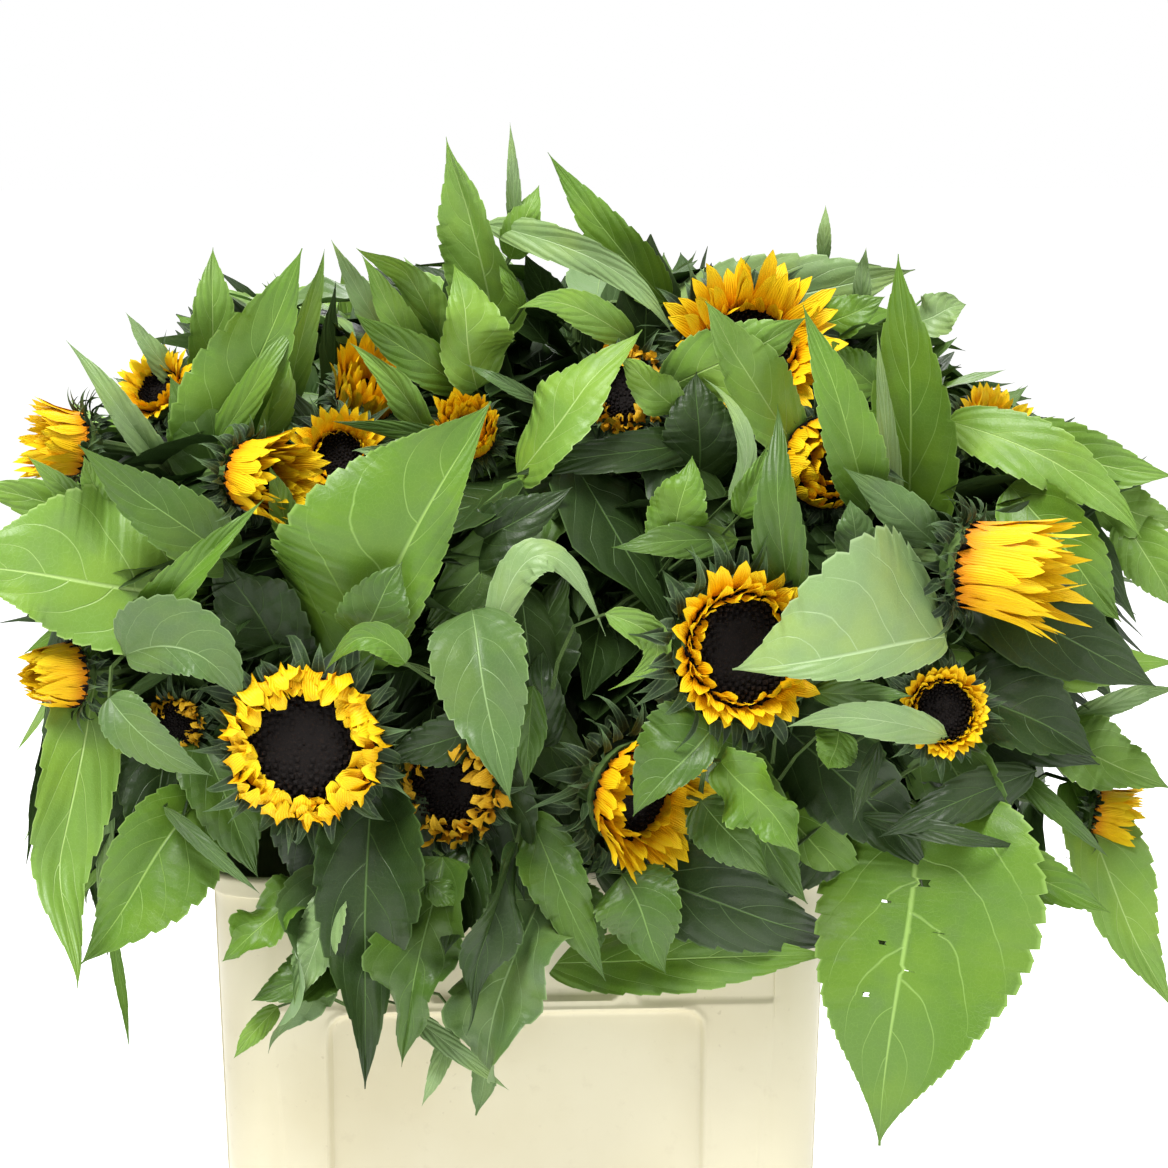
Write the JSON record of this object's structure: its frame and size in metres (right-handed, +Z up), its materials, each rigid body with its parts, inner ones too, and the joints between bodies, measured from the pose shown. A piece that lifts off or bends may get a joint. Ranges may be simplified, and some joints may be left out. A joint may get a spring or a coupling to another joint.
{
  "type": "bunch of cut sunflowers in a flower bucket",
  "caption": "Cut sunflower stems with broad toothed leaves and dark-centred yellow blooms, bunched in a tapered square-cornered plastic bucket that stands on its flat underside.",
  "frame": {"origin": "middle of the bucket's flat underside", "axes": "+Z up, -Y towards the front face, +X to the right seen from the front; the bucket's long side lies along X"},
  "size_m": [0.7396, 0.5459, 0.8413],
  "materials": {
    "bucket_plastic": "cream moulded polypropylene, satin, lightly scuffed",
    "stem": "green hairy flower stem",
    "foliage": "thin toothed leaves, satin above and paler below",
    "bloom": "yellow petals round a dark brown disc, with green bracts behind"
  },
  "bodies": {
    "root": {"bucket": "bucket_plastic", "bloom_front_left": "bloom", "bloom_centre_right": "bloom", "bloom_right_side": "bloom", "bloom_right_low": "bloom", "bloom_low_left": "bloom", "bloom_low_middle": "bloom", "bloom_left_side": "bloom", "bloom_top_right": "bloom", "bloom_upper_right": "bloom", "bloom_upper_left": "bloom", "bloom_upper_left_inner": "bloom", "bloom_far_left": "bloom", "bloom_left_shoulder": "bloom", "bloom_top_left": "bloom", "bloom_middle_left": "bloom", "bloom_upper_middle": "bloom", "bloom_left_low": "bloom", "bloom_right_lowest": "bloom", "bloom_middle_top": "bloom", "bloom_back_1_1": "bloom", "bloom_back_1_2": "bloom", "bloom_back_1_3": "bloom", "bloom_back_2_1": "bloom", "bloom_back_2_2": "bloom", "bloom_back_2_3": "bloom", "stem_1": "stem", "stem_2": "stem", "stem_3": "stem", "stem_4": "stem", "stem_5": "stem", "stem_6": "stem", "stem_7": "stem", "stem_8": "stem", "leaf_low_right": "foliage", "leaf_far_right": "foliage", "leaf_low_left": "foliage", "leaf_low_left_inner": "foliage", "leaf_front_drape": "foliage", "leaf_middle_drape": "foliage", "leaf_top_peak": "foliage", "leaf_top_second": "foliage", "leaf_right_upright": "foliage", "leaf_left_upright": "foliage", "leaf_left_tall": "foliage", "leaf_left_reach": "foliage", "leaf_right_reach": "foliage", "foliage_front": "foliage", "foliage_left": "foliage", "foliage_right": "foliage", "foliage_top": "foliage", "foliage_shoulder_left": "foliage", "foliage_shoulder_right": "foliage", "foliage_heart": "foliage", "foliage_back": "foliage", "foliage_drape_front": "foliage", "foliage_drape_middle": "foliage", "foliage_drape_left": "foliage", "foliage_drape_right": "foliage", "foliage_drape_back": "foliage"}
  },
  "joints": []
}
